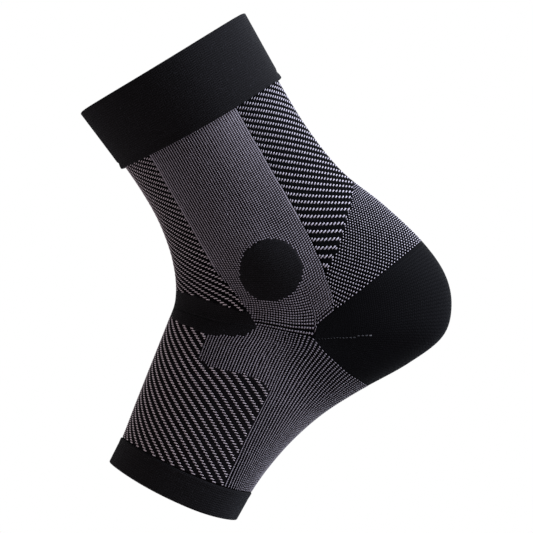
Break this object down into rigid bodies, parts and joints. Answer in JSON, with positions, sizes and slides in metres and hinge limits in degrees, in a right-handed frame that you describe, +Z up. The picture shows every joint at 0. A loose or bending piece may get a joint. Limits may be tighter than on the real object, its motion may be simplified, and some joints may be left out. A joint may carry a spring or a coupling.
{
  "type": "ankle bracing sleeve",
  "caption": "Open-toe knitted compression sleeve in worn form: doubled cuff, ribbed side stirrup, plain ankle patches and heel pouch, twill-striped panels and a doubled toe hem.",
  "frame": {"origin": "centre of the ankle, midway between the two round ankle patches", "axes": "+Z up the leg out of the calf opening, +X back towards the heel, toes towards -X; mirrored in the plane Y = 0"},
  "size_m": [0.1805, 0.085, 0.2041],
  "materials": {
    "plain_knit": "matt black jersey knit",
    "twill_knit": "black knit with pale diagonal twill dashes",
    "rib_knit": "grey on black knit with fine ribs along the strap",
    "dotted_knit": "black knit with pale staggered dots"
  },
  "bodies": {
    "root": {"top_cuff": "plain_knit", "shin_panel": "twill_knit", "achilles_panel": "twill_knit", "instep_panel": "twill_knit", "stirrup": "rib_knit", "heel_collar": "dotted_knit", "ankle_patch_left": "plain_knit", "ankle_patch_right": "plain_knit", "crease_band": "plain_knit", "heel_cup": "plain_knit", "toe_hem": "plain_knit"}
  },
  "joints": []
}
